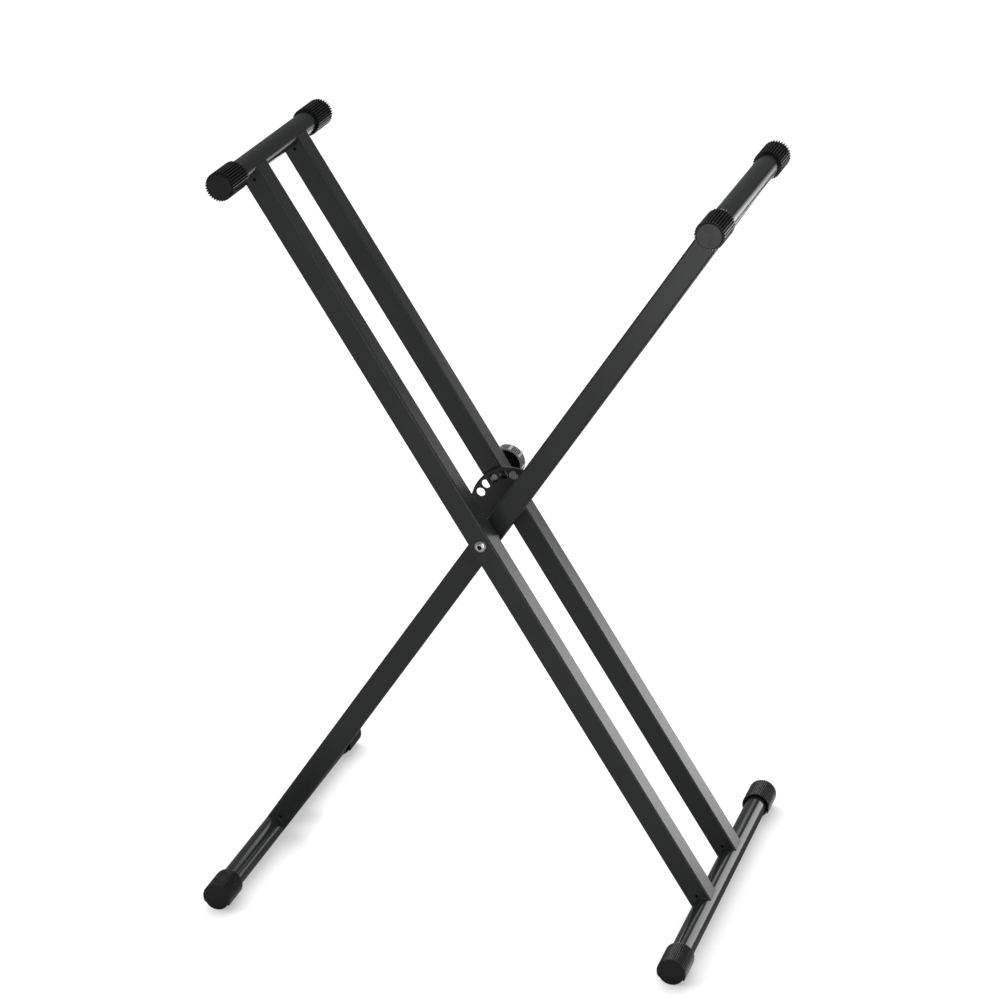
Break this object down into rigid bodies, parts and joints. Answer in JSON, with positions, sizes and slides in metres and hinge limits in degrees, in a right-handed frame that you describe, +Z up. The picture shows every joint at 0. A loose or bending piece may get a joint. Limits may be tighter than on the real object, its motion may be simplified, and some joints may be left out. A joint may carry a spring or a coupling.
{
  "type": "folding keyboard stand",
  "caption": "Double-braced folding X stand of square steel tube, with round foot and top bars, ribbed rubber caps and a spring pin that locks its spread in a hole plate.",
  "frame": {"origin": "on the floor, midway between the two foot bars and midway along them, straight below the pivot", "axes": "+X across the stand to the right as seen from the front, +Y along the bars from the front to the rear, +Z up"},
  "size_m": [0.5558, 0.435, 0.8354],
  "materials": {
    "leg_coat": "satin black powder coat with a fine orange peel",
    "bar_coat": "glossy black powder coat",
    "plate_coat": "satin black powder coat",
    "cap_rubber": "matt moulded rubber",
    "fastener_zinc": "bright zinc plate",
    "spacer_nylon": "black nylon",
    "spring_steel": "drawn spring wire",
    "knob_plastic": "moulded black plastic with a slight sheen"
  },
  "bodies": {
    "outer_frame": {"outer_leg_front": "leg_coat", "outer_leg_rear": "leg_coat", "outer_foot_bar": "bar_coat", "outer_foot_cap_front": "cap_rubber", "outer_foot_cap_rear": "cap_rubber", "outer_top_bar": "bar_coat", "outer_top_cap_front": "cap_rubber", "outer_top_cap_rear": "cap_rubber", "pivot_bolt_front": "fastener_zinc", "pivot_bolt_rear": "fastener_zinc", "pivot_nut_front": "fastener_zinc", "pivot_nut_rear": "fastener_zinc", "pivot_washer_front": "fastener_zinc", "pivot_washer_rear": "fastener_zinc", "pivot_spacer_front": "spacer_nylon", "pivot_spacer_rear": "spacer_nylon", "outer_crush_sleeve_front": "fastener_zinc", "outer_crush_sleeve_rear": "fastener_zinc", "lock_housing": "fastener_zinc", "lock_plug": "fastener_zinc", "lock_spring": "spring_steel"},
    "inner_frame": {"inner_leg_front": "leg_coat", "inner_leg_rear": "leg_coat", "inner_foot_bar": "bar_coat", "inner_foot_cap_front": "cap_rubber", "inner_foot_cap_rear": "cap_rubber", "inner_top_bar": "bar_coat", "inner_top_cap_front": "cap_rubber", "inner_top_cap_rear": "cap_rubber", "inner_bearing_sleeve_front": "fastener_zinc", "inner_bearing_sleeve_rear": "fastener_zinc", "lock_plate": "plate_coat"},
    "lock_pin": {"lock_pin": "fastener_zinc", "lock_knob": "knob_plastic"}
  },
  "joints": [
    {"name": "spread", "type": "hinge", "parent": "outer_frame", "child": "inner_frame", "pos_m": [0, 0, 0.41702], "axis": [0, 1, 0], "range_deg": [-60, 36]},
    {"name": "pin_slide", "type": "slide", "parent": "outer_frame", "child": "lock_pin", "axis": [0, -1, 0], "range_m": [0, 0.0065]}
  ]
}
